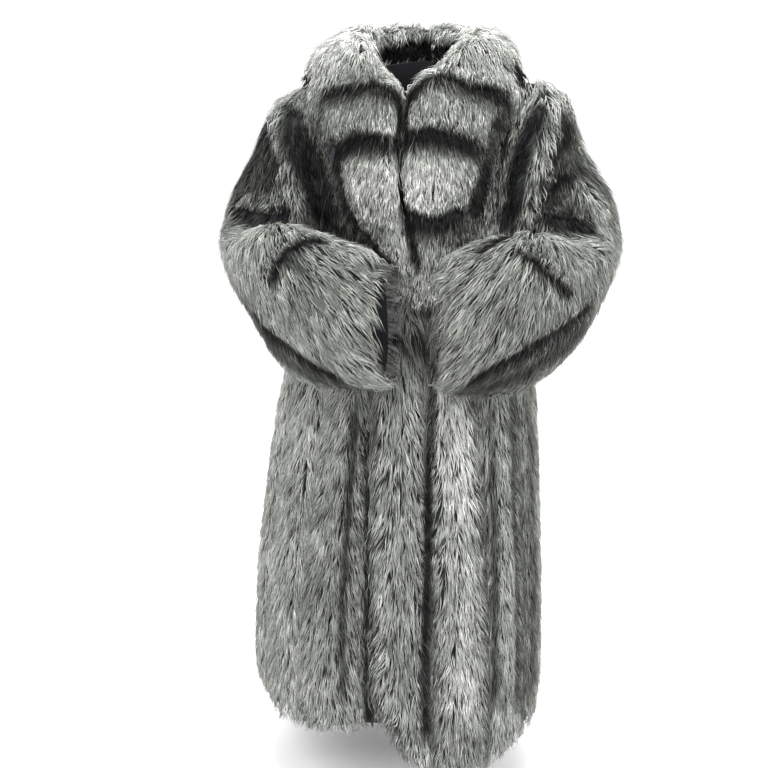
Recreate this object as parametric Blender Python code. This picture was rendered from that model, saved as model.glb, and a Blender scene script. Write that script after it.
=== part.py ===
"""Full-length coat of let-out silver fox, in the form it takes when worn: the left front laps over
the right, the elbows are bent and the open cuffs come together in front of the waist.

Each panel is a wall as deep as its fur: strips and collar bands are raised on the outer side, and
the inner side is plain. Metres, +Z up, the front faces -Y, +X is the wearer's left. The origin is
the middle of the neck's base on the line of the shoulders."""
import math

import bpy
import numpy as np
from mathutils import Vector
from mathutils.bvhtree import BVHTree

MM = 0.001
SEAM = 0.25 * MM         # every piece stops this far short of each of its seams
WALL_SEAM = 22 * MM      # depth of wall and fur where two strips meet
WALL_CROWN = 33 * MM     # the same along the middle of a strip
WALL_FLAT = 13 * MM      # fur pressed flat under the collar and the lap
COLLAR_GROOVE = 15 * MM  # depth of the collar between two bands
COLLAR_CROWN = 40 * MM   # the same at the fullest part of a band
WALL_UNDER = 12 * MM     # fur crushed under the arm
WALL_BEND = 6 * MM       # fur crushed inside the bend of an elbow and against the body
WALL_HEM = 0.75          # share of its depth that the wall keeps at the hem
WALL_CUFF = 0.8          # and at a cuff
LAP_CLEAR = 5 * MM       # between the left front and the right one behind it
REST = 0.6 * MM          # the collar lies this far off the panels
LEAN = 0.2               # how far the chest slopes back for its height

HEM_LEFT = (0.130, 0.14, 0.046)      # lift at the front edge, share of the width it takes, dip beyond
HEM_RIGHT = (0.060, 0.30, -0.010)    # the same on the right front, whose hem rises instead of dipping
FOLDS_FRONT = (2.0, 0.006)           # upright folds in a front, and how deep they swing
FOLDS_BACK = (4.0, 0.009)            # the same in the back
FOLDS_TOP, FOLDS_RUN = -0.55, 0.75   # level where the folds start, and the drop to their full depth

LOW = 12      # rows from the hem to the armpit
HIGH = 11     # rows from the armpit to the shoulder seam
STRIPS = 4    # strips in a front and in half the back
CUTS = 4      # columns in a strip
NECK = 4      # columns of a panel's top edge that belong to the neckline
COLS = STRIPS * CUTS + 1
RINGS = 24    # rings along a sleeve
BANDS = 34    # rows along half the collar
ACROSS = 10   # columns across the collar
SMOOTH = 3    # rounds of evening out along a sleeve
INNER_ROUNDS, OUTER_ROUNDS = 50, 30    # the same on the side of it that faces the body

SIDE_SEAM = 0.005                    # y of the side seams
SEAM_STEP = 0.08                     # how much closer points stand along the armhole's sides
ROW_HANDLE = 0.33                    # how stiffly a row leaves its ends, as a share of its run
ROUND_FRONT, ROUND_SIDE = 0.6, 0.55  # how full a level row is at its middle edge and at its side
ARMPIT_DIP, DIP_ROWS = 0.05, 2.0     # how far the rows sag at the armpit, and over how many rows
CHEST_SLOPE = 0.16                   # how far the front falls away beside the collar
OUT_ALL, OUT_ENDS, OUT_PIT = 0.15, 0.25, 1.2    # lean of the armhole's wall: all round, top and pit, pit

# Inner face of the body below the armpits, as horizontal sections.
# z, centre x, half width, front edge y, back y, how far the front slopes away from its edge
BODY = (
    (-1.315, -0.036, 0.292, -0.300, 0.240, 0.00),
    (-1.050, -0.033, 0.281, -0.276, 0.215, 0.00),
    (-0.850, -0.026, 0.264, -0.252, 0.195, 0.02),
    (-0.650, -0.017, 0.243, -0.224, 0.175, 0.08),
    (-0.500, -0.008, 0.222, -0.196, 0.158, 0.14),
    (-0.360, 0.000, 0.206, -0.172, 0.142, 0.16),
)
# Front edges of the two fronts below the armpits.
# z, left front x, right front x
EDGE = (
    (-1.315, -0.036, 0.040),
    (-0.850, -0.044, 0.036),
    (-0.600, -0.050, 0.034),
    (-0.450, -0.044, 0.034),
    (-0.360, -0.030, 0.034),
)
# The edge that the collar is sewn to, from the level of the armpit to the gorge.
# share of the height, left x, right x, y, z
GORGE = (
    (0.00, -0.030, 0.034, -0.172, -0.360),
    (0.20, 0.006, -0.004, -0.168, -0.295),
    (0.40, 0.024, -0.024, -0.154, -0.215),
    (0.60, 0.042, -0.042, -0.130, -0.135),
    (0.80, 0.062, -0.062, -0.096, -0.065),
    (1.00, 0.080, -0.080, -0.060, -0.020),
)
# Middle of the back above the armpits.
# share of the height, y, z
SPINE = (
    (0.00, 0.142, -0.360),
    (0.35, 0.146, -0.250),
    (0.70, 0.132, -0.110),
    (1.00, 0.086, 0.022),
)
NECK_POINT = (0.098, 0.012, 0.010)    # where shoulder seam and neckline meet
SHOULDER_RISE = (0.013, 0.024)        # how far the padded shoulder stands above a straight seam
ARMHOLE = {"centre": (0.243, 0.005, -0.2175), "rise": (0.037, 0.0, 0.1425), "half_depth": 0.085}

# Inner face of a sleeve beyond the armhole, as rings across the arm.
# outer side x, y, z: shoulder, back of the elbow, underside of the cuff
# inner side x, y, z: armpit, bend of the elbow, top of the cuff; half depth
SLEEVE = (
    (0.305, 0.014, -0.140, 0.254, -0.018, -0.356, 0.080),
    (0.341, 0.028, -0.214, 0.274, -0.060, -0.340, 0.068),
    (0.357, 0.033, -0.290, 0.278, -0.104, -0.318, 0.062),
    (0.337, 0.016, -0.358, 0.274, -0.142, -0.297, 0.062),
    (0.306, -0.024, -0.418, 0.262, -0.178, -0.284, 0.063),
    (0.286, -0.085, -0.468, 0.248, -0.210, -0.275, 0.063),
    (0.260, -0.150, -0.502, 0.230, -0.238, -0.270, 0.062),
    (0.222, -0.210, -0.524, 0.200, -0.264, -0.273, 0.058),
    (0.168, -0.255, -0.521, 0.163, -0.281, -0.283, 0.056),
    (0.130, -0.282, -0.516, 0.128, -0.290, -0.297, 0.055),
    (0.098, -0.292, -0.510, 0.098, -0.292, -0.308, 0.056),
)
RIGHT_REACH = 0.068    # how much further the right hand reaches across the body
RIGHT_CLOSE = 0.012    # how much closer the right elbow is held
RIGHT_TUCK = 0.035     # how much closer still the underside of the right forearm is
TUCK_Z = (-0.45, 0.08)     # level where it is closest, and how far that reaches up and down
TUCK_X = (0.10, 0.14)      # distance from the middle where it starts, and the run to its full size
TUCK_Y = (-0.06, 0.10)     # the same forwards
CREASES = ((0.27, 0.035), (0.43, 0.035))    # across the bend: share of the length, half width
CREASE_DEEP = 10 * MM  # depth of those creases
SLEEVE_STRIPS = 5      # strips round a sleeve

# The left shoulder is fuller than the right one, its sleeve is drawn in just below it, and the collar
# stands closer to the neck above both.
# centre, how far it reaches, shift
PUFFS = (
    ((0.275, 0.000, -0.050), 0.070, (0.0, 0.0, 0.028)),
    ((0.335, -0.020, -0.140), 0.055, (-0.030, 0.0, 0.0)),
    ((0.215, 0.000, 0.045), 0.055, (-0.028, 0.0, 0.0)),
    ((-0.215, 0.000, 0.045), 0.055, (0.014, 0.0, 0.0)),
)

# Under side of half the collar: it stands round the neck, turns over and lies on the front, and the
# halves meet down the middle. Its x is measured from the line where they meet.
# share of its length; neck seam x, y, z; roll x, y, z; middle of the fall x, y, z; outer edge x, y, z
COLLAR = (
    (0.00, 0.000, 0.090, 0.042, 0.000, 0.104, 0.076, 0.000, 0.142, 0.046, 0.000, 0.176, -0.058),
    (0.10, 0.054, 0.078, 0.040, 0.058, 0.090, 0.074, 0.084, 0.124, 0.044, 0.108, 0.152, -0.054),
    (0.20, 0.088, 0.044, 0.034, 0.098, 0.050, 0.068, 0.142, 0.066, 0.042, 0.184, 0.082, -0.030),
    (0.30, 0.100, 0.002, 0.028, 0.108, -0.006, 0.058, 0.156, -0.004, 0.042, 0.208, 0.000, 0.002),
    (0.40, 0.090, -0.046, 0.010, 0.088, -0.066, 0.036, 0.138, -0.060, 0.016, 0.192, -0.052, -0.032),
    (0.50, 0.052, -0.092, -0.014, 0.038, -0.112, 0.002, 0.110, -0.100, -0.034, 0.186, -0.080, -0.080),
    (0.60, 0.020, -0.118, -0.062, 0.014, -0.136, -0.056, 0.092, -0.120, -0.088, 0.168, -0.102, -0.125),
    (0.70, 0.018, -0.138, -0.128, 0.014, -0.152, -0.128, 0.086, -0.142, -0.148, 0.153, -0.128, -0.172),
    (0.80, 0.014, -0.158, -0.208, 0.012, -0.168, -0.208, 0.076, -0.166, -0.216, 0.140, -0.157, -0.228),
    (0.90, 0.009, -0.176, -0.292, 0.007, -0.183, -0.292, 0.055, -0.182, -0.294, 0.103, -0.175, -0.296),
    (1.00, 0.004, -0.200, -0.392, 0.006, -0.203, -0.392, 0.020, -0.204, -0.392, 0.036, -0.202, -0.392),
)
RIGHT_END = 0.985    # the right half stops just above the left one's end
# Width of the right half as a share of the left one's.
# share of its length, width
RIGHT_WIDTH = (
    (0.0, 1.00),
    (0.4, 1.00),
    (0.5, 0.96),
    (0.6, 0.91),
    (0.7, 0.83),
    (0.8, 0.79),
    (0.9, 0.68),
    (1.0, 0.85),
)
LOOK_ASIDE, LOOK_UP = (-16, -8, 0, 8, 16), (-12, 0, 12)    # mm round a point where the collar rests
CHEST_Y = -0.05      # in front of this the collar is kept clear of the chest from the front
DEEPEST = 0.10       # it is lifted out of a panel by no more than this
NEAREST = 0.04       # and only panels this close matter
# Grooves where two bands of a half meet, as shares of its length.
# at the roll, at the outer edge
GROOVES_LEFT = ((0.0, 0.0), (0.15, 0.15), (0.31, 0.23), (0.48, 0.32), (0.66, 0.56), (0.85, 0.83))
GROOVES_RIGHT = ((0.0, 0.0), (0.15, 0.15), (0.31, 0.25), (0.49, 0.38), (0.67, 0.60), (0.87, 0.88))
# Line down the front where the two halves meet.
# z, x
MEETING = (
    (-0.42, 0.030),
    (-0.34, 0.018),
    (-0.26, 0.000),
    (-0.10, -0.010),
    (0.00, -0.004),
    (0.05, 0.000),
)
MEETING_LINE = np.array(MEETING).T


def through(table, at):
    """Smooth curve through the rows of a table whose first column is the parameter."""
    table = np.array(table, float)
    t, values = table[:, 0], table[:, 1:]
    if t[0] > t[-1]:
        t, values = t[::-1], values[::-1]
    slope = np.gradient(values, t, axis=0)
    i = int(np.clip(np.searchsorted(t, at) - 1, 0, len(t) - 2))
    span = t[i + 1] - t[i]
    s = (at - t[i]) / span
    return (
        (2 * s**3 - 3 * s**2 + 1) * values[i]
        + (s**3 - 2 * s**2 + s) * span * slope[i]
        + (3 * s**2 - 2 * s**3) * values[i + 1]
        + (s**3 - s**2) * span * slope[i + 1]
    )


def bezier(points, n=65):
    a, b, c, d = (np.array(p, float) for p in points)
    s = np.linspace(0, 1, n)[:, None]
    return (1 - s) ** 3 * a + 3 * s * (1 - s) ** 2 * b + 3 * s**2 * (1 - s) * c + s**3 * d


def evenly(curve, n):
    """n points spaced evenly along a curve."""
    run = np.r_[0, np.cumsum(np.linalg.norm(np.diff(curve, axis=0), axis=1))]
    at = np.linspace(0, run[-1], n)
    return np.stack([np.interp(at, run, curve[:, i]) for i in range(3)], 1)


def unit(v):
    return v / np.maximum(np.linalg.norm(v, axis=-1, keepdims=True), 1e-12)


def ease(s):
    s = np.clip(s, 0, 1)
    return s * s * (3 - 2 * s)


def normals(grid, closed=False):
    """Normal at each point of a grid, as rows by columns."""
    if closed:
        wide = np.concatenate([grid[:, -1:], grid, grid[:, :1]], 1)
        across = (wide[:, 2:] - wide[:, :-2]) / 2
    else:
        across = np.gradient(grid, axis=1)
    return unit(np.cross(across, np.gradient(grid, axis=0)))


def seam_turn(k):
    """Turn of the k-th point of the armhole seam: wider steps at the armpit and the shoulder."""
    t = min(k, 2 * HIGH - k) / HIGH
    turn = math.pi * (t + SEAM_STEP * math.sin(2 * math.pi * t))
    return turn if k <= HIGH else 2 * math.pi - turn


def armhole(turn, side):
    """Inner edge and outward direction of the armhole seam; turn runs from 0 at the armpit by the
    front to pi at the shoulder and on by the back."""
    centre, rise = np.array(ARMHOLE["centre"]), np.array(ARMHOLE["rise"])
    edge = centre - rise * math.cos(turn)
    edge[1] -= ARMHOLE["half_depth"] * math.sin(turn)
    out = OUT_ALL + OUT_ENDS * math.cos(turn) ** 2 + OUT_PIT * max(math.cos(turn), 0) ** 2
    way = unit(np.array([out, -math.sin(turn), -math.cos(turn)]))
    flip = np.array([side, 1, 1])
    return edge * flip, way * flip


def panel_row(edge, rim, turn, slope, step, rise=0.0):
    """Points along one row of a panel, from its middle edge to its side or armhole edge; rows near
    the armpit leave it steeply."""
    run = rim - edge
    dip = ARMPIT_DIP * math.exp(-((step / DIP_ROWS) ** 2))
    straight = run * (ROW_HANDLE * (1 - turn))
    first = edge + straight + turn * np.array([ROUND_FRONT * run[0], slope * run[1], 0])
    last = rim - straight - turn * np.array([0, ROUND_SIDE * run[1], 0])
    first[2] += rise * SHOULDER_RISE[0] + turn * 0.4 * run[2] - 0.3 * dip
    last[2] += rise * SHOULDER_RISE[1] - turn * 0.3 * run[2] - dip
    return evenly(bezier((edge, first, last, rim)), COLS)


def shoulder_row(start, side):
    """Top edge of a panel: along the neckline to the neck point and down the shoulder seam."""
    neck = np.array(NECK_POINT) * [side, 1, 1]
    tip, _ = armhole(math.pi, side)
    bow = (start + neck) / 2 + 0.14 * np.array([neck[1] - start[1], 0, 0]) * -side * np.sign(start[1])
    line = evenly(bezier((start, bow, (bow + neck) / 2, neck)), NECK + 1)
    run = tip - neck
    first, last = neck + run / 3, tip - run / 3
    first[2] += SHOULDER_RISE[0]
    last[2] += SHOULDER_RISE[1]
    seam = evenly(bezier((neck, first, last, tip)), COLS - NECK)
    return np.concatenate([line[:-1], seam])


def half_panel(side, back):
    """Inner face of a front or of half the back, rows from the hem up, columns from its middle edge."""
    rows, left = [], side > 0
    for k in range(LOW):
        z = BODY[0][0] + (BODY[-1][0] - BODY[0][0]) * k / LOW
        middle, half, front_y, back_y, slope = through(BODY, z)
        edge_x = through(EDGE, z)[0 if left else 1]
        edge = np.array([middle if back else edge_x, back_y if back else front_y, z])
        if not back and not left:
            edge[1] += WALL_CROWN + LAP_CLEAR
        rim = np.array([middle + side * half, SIDE_SEAM, z])
        rows.append(panel_row(edge, rim, 1.0, 0.0 if back else slope, k - LOW))
    for k in range(HIGH + 1):
        t = k / HIGH
        if back:
            y, z = through(SPINE, t)
            edge = np.array([0.0, y, z])
        else:
            left_x, right_x, y, z = through(GORGE, t)
            edge = np.array([left_x if left else right_x, y, z])
            if not left:
                edge[1] += (WALL_CROWN + LAP_CLEAR) * (1 - ease((t - 0.18) / 0.3))
        rim, _ = armhole(seam_turn(2 * HIGH - k if back else k), side)
        slope = 0.0 if back else CHEST_SLOPE * (1 - ease(t / 0.5))
        rows.append(panel_row(edge, rim, (1 - t) ** 1.3, slope, k, t * t))
    grid = np.array(rows)
    change = shoulder_row(grid[-1, 0], side) - grid[-1]
    for k in range(HIGH + 1):
        grid[LOW + k] += change * ease((k / HIGH - 0.35) / 0.65)
    return grid


def flutes(grid, out, folds, phase):
    """Soft upright folds that fade out above the knee."""
    waves, depth = folds
    across = np.linspace(0, 1, grid.shape[1])
    swing = np.cos(2 * math.pi * (waves * across + phase)) * ease(np.minimum(across, 1 - across) / 0.12)
    down = ease((FOLDS_TOP - grid[:, :1, 2]) / FOLDS_RUN)
    level = out * np.array([1, 1, 0])
    return grid + level * (depth * down * swing[None])[..., None]


def hem_line(grid, shape):
    """Round the hem up at the front edge and let it dip along the panel."""
    lift, reach, drop = shape
    across = np.linspace(0, 1, grid.shape[1])
    for k in range(4):
        grid[k, :, 2] += lift * np.exp(-((across / reach) ** 2)) * (1 - k / 4)
        grid[k, :, 2] -= drop * np.sin(math.pi * across**0.7) * (1 - k / 4)
    return grid


def strip_wall(shape):
    """Depth of a panel's wall, with a crown along each strip."""
    phase = (np.arange(shape[1]) % CUTS) / CUTS
    crown = np.sin(math.pi * phase) ** 0.7
    return np.tile(WALL_SEAM + (WALL_CROWN - WALL_SEAM) * crown, (shape[0], 1))


def seam_wall(turn):
    """Depth of the wall along the armhole seam, thin in the armpit."""
    return WALL_SEAM + (WALL_UNDER - WALL_SEAM) * max(math.cos(turn), 0)


def side_wall(depth, column, crushed):
    """Set the depth along a side edge, and crush the wall next to it under the arm."""
    rows = np.arange(LOW + HIGH + 1)[:, None] - LOW
    near = np.abs(np.arange(depth.shape[1])[None] - column % depth.shape[1])
    share = np.exp(-(((rows - 1) / 3.5) ** 2)) * (1 - ease((near - crushed) / 4))
    depth += (np.minimum(depth, WALL_UNDER) - depth) * share
    depth[:, column] = WALL_SEAM + (WALL_UNDER - WALL_SEAM) * np.exp(-((rows[:, 0] / 1.5) ** 2))
    for k in range(HIGH + 1):
        depth[LOW + k, column] = seam_wall(seam_turn(k))


def shoulder_wall(column):
    """Depth of the wall along the neckline and shoulder seam, counted from the middle edge."""
    return 0.6 * WALL_FLAT + (WALL_SEAM - 0.6 * WALL_FLAT) * ease((column - NECK - 3) / 6)


def inset(grid, top, sides):
    """Draw the sewn edges back from their seams."""
    grid = grid.copy()
    if top:
        grid[-1] += SEAM * unit(grid[-2] - grid[-1])
    for a, b in sides:
        grid[:, a] += SEAM * unit(grid[:, b] - grid[:, a])
    return grid


def outer_face(grid, depth, side_ways):
    """Outer face of a panel; side_ways gives the shared directions at its sewn side edges."""
    way = normals(grid)
    for _ in range(4):
        way[LOW + 4:, 1:-1] = unit(way[LOW + 4:, :-2] + way[LOW + 4:, 1:-1] + way[LOW + 4:, 2:])
    away = np.abs(grid[-1, :, 1] - NECK_POINT[1])
    seam = (1 - ease(away / 0.05))[:, None]
    side = np.sign(grid[-1, :, 0])
    up = np.stack([0.18 * side, 0 * side, 1 + 0 * side], 1)
    lean = np.stack([0.3 * side, 0.7 * np.sign(grid[-1, :, 1].sum()) + 0 * side, 0.7 + 0 * side], 1)
    way[-1] = unit(seam * up + (1 - seam) * lean)
    way[-2] = unit(way[-2] + 0.5 * way[-1])
    for column, side, back in side_ways:
        for k in range(LOW + HIGH + 1):
            if k < LOW:
                way[k, column] = (side, 0, 0)
            else:
                turn = seam_turn(2 * HIGH - (k - LOW) if back else k - LOW)
                way[k, column] = armhole(turn, side)[1]
        for step, share in ((1, 0.5), (2, 0.2)):
            near = column + step if column == 0 else column - step
            way[LOW:, near] = unit(way[LOW:, near] + share * (way[LOW:, column] - way[LOW:, near]))
    return grid + way * depth[..., None]


def make_front(side):
    grid = half_panel(side, False)
    grid = hem_line(grid, HEM_LEFT if side > 0 else HEM_RIGHT)
    way = normals(grid) * (1 if side > 0 else -1)
    grid = flutes(grid, way, FOLDS_FRONT, 0.25 if side > 0 else 0.0)
    depth = strip_wall(grid.shape[:2])
    columns = np.linspace(0, 1, COLS)
    rows = np.r_[np.zeros(LOW), np.linspace(0, 1, HIGH + 1)]
    under = ease((rows - 0.02) / 0.12)[:, None] * (1 - ease((columns - 0.62) / 0.2))[None]
    depth += (WALL_FLAT - depth) * under
    if side < 0:
        lap = (1 - ease((columns - 0.16) / 0.14))[None] * (rows < 0.3)[:, None]
        depth += (WALL_FLAT - depth) * lap
    side_wall(depth, -1, 7)
    depth[-1, :-1] = shoulder_wall(np.arange(COLS - 1))
    depth[0] *= WALL_HEM
    if side < 0:
        grid, depth = grid[:, ::-1], depth[:, ::-1]
        ways = ((0, side, False),)
        ends = ((0, 1),)
    else:
        ways = ((-1, side, False),)
        ends = ((-1, -2),)
    outer = outer_face(grid, depth, ways)
    return inset(grid, True, ends), inset(outer, True, ends)


def make_back():
    left, right = half_panel(1, True), half_panel(-1, True)
    grid = np.concatenate([left[:, ::-1], right[:, 1:]], 1)
    way = normals(grid)
    grid = flutes(grid, way, FOLDS_BACK, 0.5)
    depth = strip_wall(grid.shape[:2])
    columns = np.abs(np.linspace(-1, 1, grid.shape[1]))
    rows = np.r_[np.zeros(LOW), np.linspace(0, 1, HIGH + 1)]
    under = ease((rows - 0.6) / 0.15)[:, None] * (1 - ease((columns - 0.62) / 0.2))[None]
    depth += (WALL_FLAT - depth) * under
    side_wall(depth, 0, 1)
    side_wall(depth, -1, 1)
    depth[-1, 1:-1] = shoulder_wall(np.abs(np.arange(1, grid.shape[1] - 1) - (COLS - 1)))
    depth[0] *= WALL_HEM
    outer = outer_face(grid, depth, ((0, 1, True), (-1, -1, True)))
    ends = ((0, 1), (-1, -2))
    return inset(grid, True, ends), inset(outer, True, ends)


def make_sleeve(side):
    """A sleeve as rings from the armhole to the cuff; its points start at the armpit and go by the
    front."""
    count = 2 * HIGH
    turns = [seam_turn(j) for j in range(count)]
    table = np.array(SLEEVE)
    if side < 0:
        reach = np.maximum(np.linspace(-1, 1, len(table)), 0) ** 1.6 * RIGHT_REACH
        table[:, 0] -= reach + RIGHT_CLOSE
        table[:, 3] -= reach
    start_top, _ = armhole(math.pi, 1)
    start_low, _ = armhole(0, 1)
    first = np.r_[start_top, start_low, ARMHOLE["half_depth"]]
    table = np.vstack([first, table])
    keys = np.c_[np.linspace(0, 1, len(table)), table]
    path = np.array([through(keys, t) for t in np.linspace(0, 1, RINGS)])
    top, low, half = path[:, :3], path[:, 3:6], path[:, 6]
    centre, rise = (top + low) / 2, (top - low) / 2
    across = unit(np.cross(rise, np.gradient(centre, axis=0)))
    across[0] = (0, 1, 0)
    for _ in range(SMOOTH):
        across[1:-1] = unit(across[:-2] + 2 * across[1:-1] + across[2:])
    inner, depth = np.zeros((RINGS, count, 3)), np.zeros((RINGS, count))
    twist = 0.0
    for k, share in enumerate(np.linspace(0, 1, RINGS)):
        if k:
            last = unit(rise[k - 1]) * math.cos(twist) + across[k - 1] * math.sin(twist)
            twist = math.atan2(last.dot(across[k]), last.dot(unit(rise[k])))
        for j, turn in enumerate(turns):
            at = turn + twist
            inner[k, j] = centre[k] - rise[k] * math.cos(at) - across[k] * half[k] * math.sin(at)
            depth[k, j] = sleeve_depth(share, turn)
    inner[0] = [armhole(turn, 1)[0] for turn in turns]
    inward = ease(0.3 + np.cos(turns))[None] * (1 - ease(np.linspace(0, 1, RINGS)[1:-1] / 0.7))[:, None]
    for _ in range(INNER_ROUNDS):
        inner[1:-1] += (inner[:-2] + inner[2:] - 2 * inner[1:-1]) * (0.01 + 0.24 * inward)[..., None]
    way = -normals(inner, closed=True)
    way[0] = [armhole(turn, 1)[1] for turn in turns]
    for _ in range(3):
        way[1:-1] = unit(way[:-2] + 2 * way[1:-1] + way[2:])
    outer = inner + way * depth[..., None]
    for _ in range(OUTER_ROUNDS):
        outer[1:-1] += (outer[:-2] + outer[2:] - 2 * outer[1:-1]) * (0.24 * inward)[..., None]
    for grid in (inner, outer):
        grid[0] += SEAM * unit(grid[1] - grid[0])
    if side < 0:
        return tucked(inner) * [-1, 1, 1], tucked(outer) * [-1, 1, 1]
    return tuple(np.concatenate([g[:, :1], g[:, :0:-1]], 1) for g in (inner, outer))


def tucked(grid):
    """Draw the underside of the right forearm in; x is still that of a left sleeve."""
    level = np.exp(-(((grid[..., 2] - TUCK_Z[0]) / TUCK_Z[1]) ** 2))
    outside = ease((grid[..., 0] - TUCK_X[0]) / TUCK_X[1]) * ease((TUCK_Y[0] - grid[..., 1]) / TUCK_Y[1])
    grid[..., 0] -= RIGHT_TUCK * level * outside
    return grid


def sleeve_depth(share, turn):
    """Depth of the sleeve's wall: five strips along it, two creases across the bend of the elbow."""
    strip = abs(math.sin(SLEEVE_STRIPS / 2 * (turn - math.pi))) ** 0.7
    depth = WALL_SEAM + (WALL_CROWN - WALL_SEAM) * strip
    facing = max(math.cos(turn - 0.75 * math.pi), 0) ** 0.5
    for place, width in CREASES:
        depth -= CREASE_DEEP * facing * math.exp(-(((share - place) / width) ** 2))
    full = ease((share - 0.5) / 0.2)
    depth += (WALL_CROWN - depth) * 0.6 * full * facing
    inward = ease(0.35 + 0.8 * math.cos(turn)) * (1 - 0.7 * ease((share - 0.45) / 0.3))
    bend = ease(0.5 + math.cos(turn - 0.25 * math.pi)) * math.exp(-(((share - 0.22) / 0.14) ** 4))
    depth += (WALL_BEND - depth) * max(inward, bend)
    if share == 1:
        depth *= WALL_CUFF
    return seam_wall(turn) + (depth - seam_wall(turn)) * ease(share / 0.1)


def band_depth(share, grooves):
    """Depth of the collar: full just above each groove, thin at the groove."""
    marks = list(grooves) + [1.0]
    for a, b in zip(marks, marks[1:]):
        if a <= share <= b:
            s = (share - a) / (b - a)
            swell = math.sin(math.pi * s**0.85) ** 0.65
            full = COLLAR_CROWN * (1 - 0.45 * ease((share - 0.6) / 0.4))
            return COLLAR_GROOVE + (full - COLLAR_GROOVE) * swell
    return COLLAR_GROOVE


def settle(grid, faces, clear):
    """Lift points off the panels' outer faces, looking a little to all sides of each."""
    grid = grid.copy()
    around = [(x, z) for x in LOOK_ASIDE for z in LOOK_UP]
    for p in grid.reshape(-1, 3):
        for tree in faces * 2:
            for x, z in around if p[1] < CHEST_Y else ():
                start = Vector((p[0] + x * MM, -1, p[2] + z * MM))
                spot = tree.ray_cast(start, Vector((0, 1, 0)))[0]
                if spot:
                    level = spot.y - clear - LEAN * z * MM
                    if p[1] > level > p[1] - DEEPEST:
                        p[1] = level
            spot, way, _, distance = tree.find_nearest(Vector(p))
            high = (Vector(p) - spot).dot(way)
            if high < clear and distance < NEAREST and abs(high) > 0.8 * distance:
                p[:] = spot + way * clear
    return grid


def collar_row(share):
    """Under side of the collar across its width, from the neck seam to the outer edge."""
    neck, roll, fall, edge = through(COLLAR, share).reshape(4, 3)
    return evenly(np.concatenate([
        bezier((neck, neck * 0.4 + roll * 0.6, roll * 0.85 + neck * 0.15, roll))[:-1],
        bezier((roll, roll * 1.1 - neck * 0.1, (roll + fall) / 2, fall))[:-1],
        bezier((fall, fall * 1.3 - roll * 0.3, edge * 0.6 + fall * 0.4, edge)),
    ]), ACROSS)


def make_collar(side, faces):
    """Half the collar; its rows run along the grooves, which rise towards the outer edge."""
    grooves = np.array(GROOVES_LEFT if side > 0 else GROOVES_RIGHT)
    rows = np.linspace(0, 1 if side > 0 else RIGHT_END, BANDS + 1)
    s = np.linspace(0, 1, ACROSS)
    grid = np.zeros((len(rows), ACROSS, 3))
    for j, out in enumerate(np.clip((s - 0.25) / 0.75, 0, 1)):
        marks = grooves[:, 0] + (grooves[:, 1] - grooves[:, 0]) * out
        for k, share in enumerate(np.interp(rows, np.r_[grooves[:, 0], 1], np.r_[marks, 1])):
            point = collar_row(share)[j]
            wide = 1 if side > 0 else 1 + (through(RIGHT_WIDTH, share)[0] - 1) * ease(point[0] / 0.08)
            point[0] = np.interp(point[2], *MEETING_LINE) + side * wide * point[0]
            grid[k, j] = point
    if side > 0:
        grid = grid[:, ::-1]
    flat = keep_side(settle(grid, faces, REST), side)
    start = 0.34 + 0.32 * ease((rows - 0.42) / 0.15)[:, None]
    rise = np.sin(math.pi * np.minimum(s, 0.4) / 0.8) ** 0.8
    drop = np.cos(math.pi * np.maximum(s - 0.6, 0) / 0.8) ** 0.7
    depth = (start + (1 - start) * rise[None]) * (0.34 + 0.66 * drop[None])
    thin = 1 - 0.5 * ease((rows - 0.9) / 0.1)
    depth *= (thin * [band_depth(row, grooves[:, 0]) for row in rows])[:, None]
    if side > 0:
        depth = depth[:, ::-1]
    outer = keep_side(flat + normals(flat) * depth[..., None], side)
    return flat, outer


def keep_side(grid, side):
    """Keep half the collar on its own side of the line where the halves meet."""
    line = np.interp(grid[..., 2], *MEETING_LINE)
    grid[..., 0] = line + side * np.maximum((grid[..., 0] - line) * side, 0.4 * MM)
    return grid


def puffed(points):
    """Shape the shoulders; every piece there moves alike, so the seams stay shut."""
    for centre, reach, shift in PUFFS:
        away = np.linalg.norm(points - np.array(centre), axis=1)[:, None]
        points = points + np.exp(-((away / reach) ** 2)) * np.array(shift)
    return points


def build(name, inner, outer, colour, closed=False):
    """Close a wall from its inner and outer grids."""
    rows, cols = inner.shape[:2]
    points = puffed(np.concatenate([inner.reshape(-1, 3), outer.reshape(-1, 3)]))
    points = [tuple(p) for p in points]
    shift = rows * cols
    faces = []
    last = cols if closed else cols - 1

    def at(r, c, out):
        return r * cols + c % cols + (shift if out else 0)

    for r in range(rows - 1):
        for c in range(last):
            for out in (0, 1):
                a, b = at(r, c, out), at(r, c + 1, out)
                d, e = at(r + 1, c, out), at(r + 1, c + 1, out)
                pair = ((a, b, e), (a, e, d))
                faces += [f if out else f[::-1] for f in pair]

    def rim(a, b):
        """Four triangles round a middle point, so that both sides of a seam match."""
        quad = (a, b, b + shift, a + shift)
        points.append(tuple(np.mean([points[i] for i in quad], axis=0)))
        middle = len(points) - 1
        faces.extend((quad[i], quad[(i + 1) % 4], middle) for i in range(4))

    for c in range(last):
        rim(at(0, c, 0), at(0, c + 1, 0))
        rim(at(rows - 1, c + 1, 0), at(rows - 1, c, 0))
    if not closed:
        for r in range(rows - 1):
            rim(at(r + 1, 0, 0), at(r, 0, 0))
            rim(at(r, cols - 1, 0), at(r + 1, cols - 1, 0))
    mesh = bpy.data.meshes.new(name)
    mesh.from_pydata(points, [], faces)
    mesh.update()
    thing = bpy.data.objects.new(name, mesh)
    bpy.context.scene.collection.objects.link(thing)
    material = bpy.data.materials.new(name)
    material.use_nodes = True
    shader = material.node_tree.nodes["Principled BSDF"]
    shader.inputs["Base Color"].default_value = (*colour, 1)
    shader.inputs["Roughness"].default_value = 0.8
    mesh.materials.append(material)


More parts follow.
